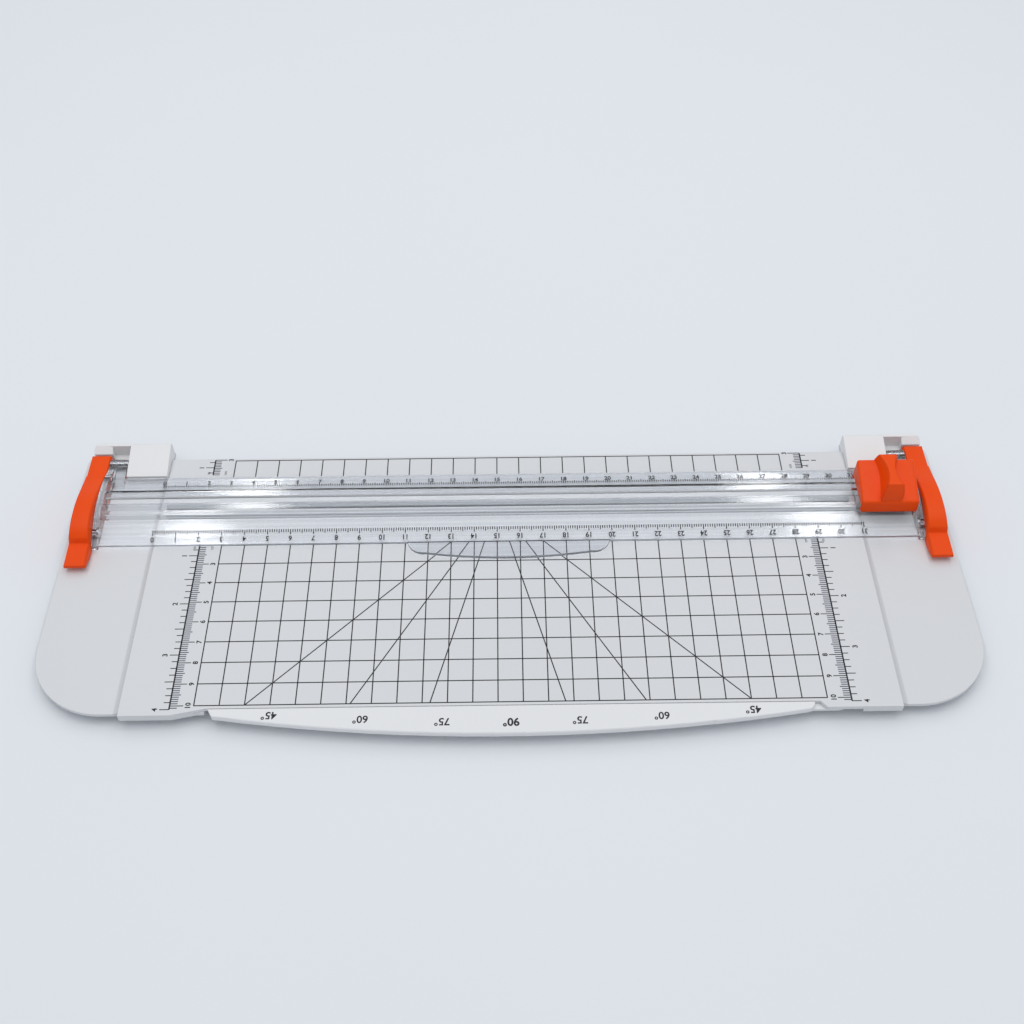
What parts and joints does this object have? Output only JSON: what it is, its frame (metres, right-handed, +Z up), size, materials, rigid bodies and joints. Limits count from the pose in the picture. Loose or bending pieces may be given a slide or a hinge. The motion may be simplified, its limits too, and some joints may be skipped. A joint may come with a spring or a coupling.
{
  "type": "rotary paper trimmer",
  "caption": "Flat A4 board with printed grids, a lift-up clear rail on rear hinges, a sprung sliding knob with a rotary blade, and a swing-out ruler arm.",
  "frame": {"origin": "middle of the plan, on the desk under the rubber feet", "axes": "+X along the cut to the user's right, +Y away from the user to the hinge side, +Z up"},
  "size_m": [0.3876, 0.1504, 0.0306],
  "materials": {
    "board_white": "moulded, fine satin grain",
    "strip_grey": "soft cutting strip",
    "block_white": "moulded, semi-gloss",
    "screw_steel": "zinc plated",
    "foot_rubber": "matt",
    "arm_white": "moulded, fine satin grain",
    "rail_clear": "clear, polished",
    "grip_orange": "moulded, satin",
    "pin_steel": "ground",
    "frame_white": "low-friction plastic",
    "spring_steel": "drawn wire",
    "knob_orange": "moulded, satin",
    "holder_grey": "moulded",
    "blade_steel": "ground disc"
  },
  "bodies": {
    "base": {"base_shell": "board_white", "cutting_strip": "strip_grey", "left_hinge_block": "block_white", "right_hinge_block": "block_white", "hinge_block_screws": "screw_steel", "rubber_feet": "foot_rubber", "arm_pivot_washer": "screw_steel", "arm_pivot_screw": "screw_steel"},
    "arm": {"swing_ruler_arm": "arm_white"},
    "rail": {"rail_guard": "rail_clear", "left_end_grip": "grip_orange", "right_end_grip": "grip_orange", "left_hinge_pin": "pin_steel", "right_hinge_pin": "pin_steel", "grip_screws": "screw_steel"},
    "carriage": {"slider_frame": "frame_white", "slider_shoe": "frame_white", "slider_screws": "screw_steel", "front_press_spring": "spring_steel", "rear_press_spring": "spring_steel"},
    "cutter": {"cutter_knob": "knob_orange", "blade_holder": "holder_grey", "holder_pins": "pin_steel", "blade_axle": "pin_steel"},
    "blade": {"rotary_blade": "blade_steel"}
  },
  "joints": [
    {"name": "rail_lift", "type": "hinge", "parent": "base", "child": "rail", "pos_m": [0, 0.0653, 0.0092], "axis": [-1, 0, 0], "range_deg": [0, 65]},
    {"name": "carriage_slide", "type": "slide", "parent": "rail", "child": "carriage", "axis": [1, 0, 0], "range_m": [-0.332, 0]},
    {"name": "cutter_press", "type": "slide", "parent": "carriage", "child": "cutter", "axis": [0, 0, -1], "range_m": [0, 0.0016], "stiffness_N_per_m": 900, "springref_m": -0.0008, "deforming": ["front_press_spring", "rear_press_spring"]},
    {"name": "blade_spin", "type": "hinge", "parent": "cutter", "child": "blade", "pos_m": [0.166, 0.0388, 0.0152], "axis": [0, 1, 0], "continuous": true},
    {"name": "arm_swing", "type": "hinge", "parent": "base", "child": "arm", "pos_m": [0.1286, -0.0572, 0.0055], "axis": [0, 0, 1], "range_deg": [0, 90]}
  ]
}
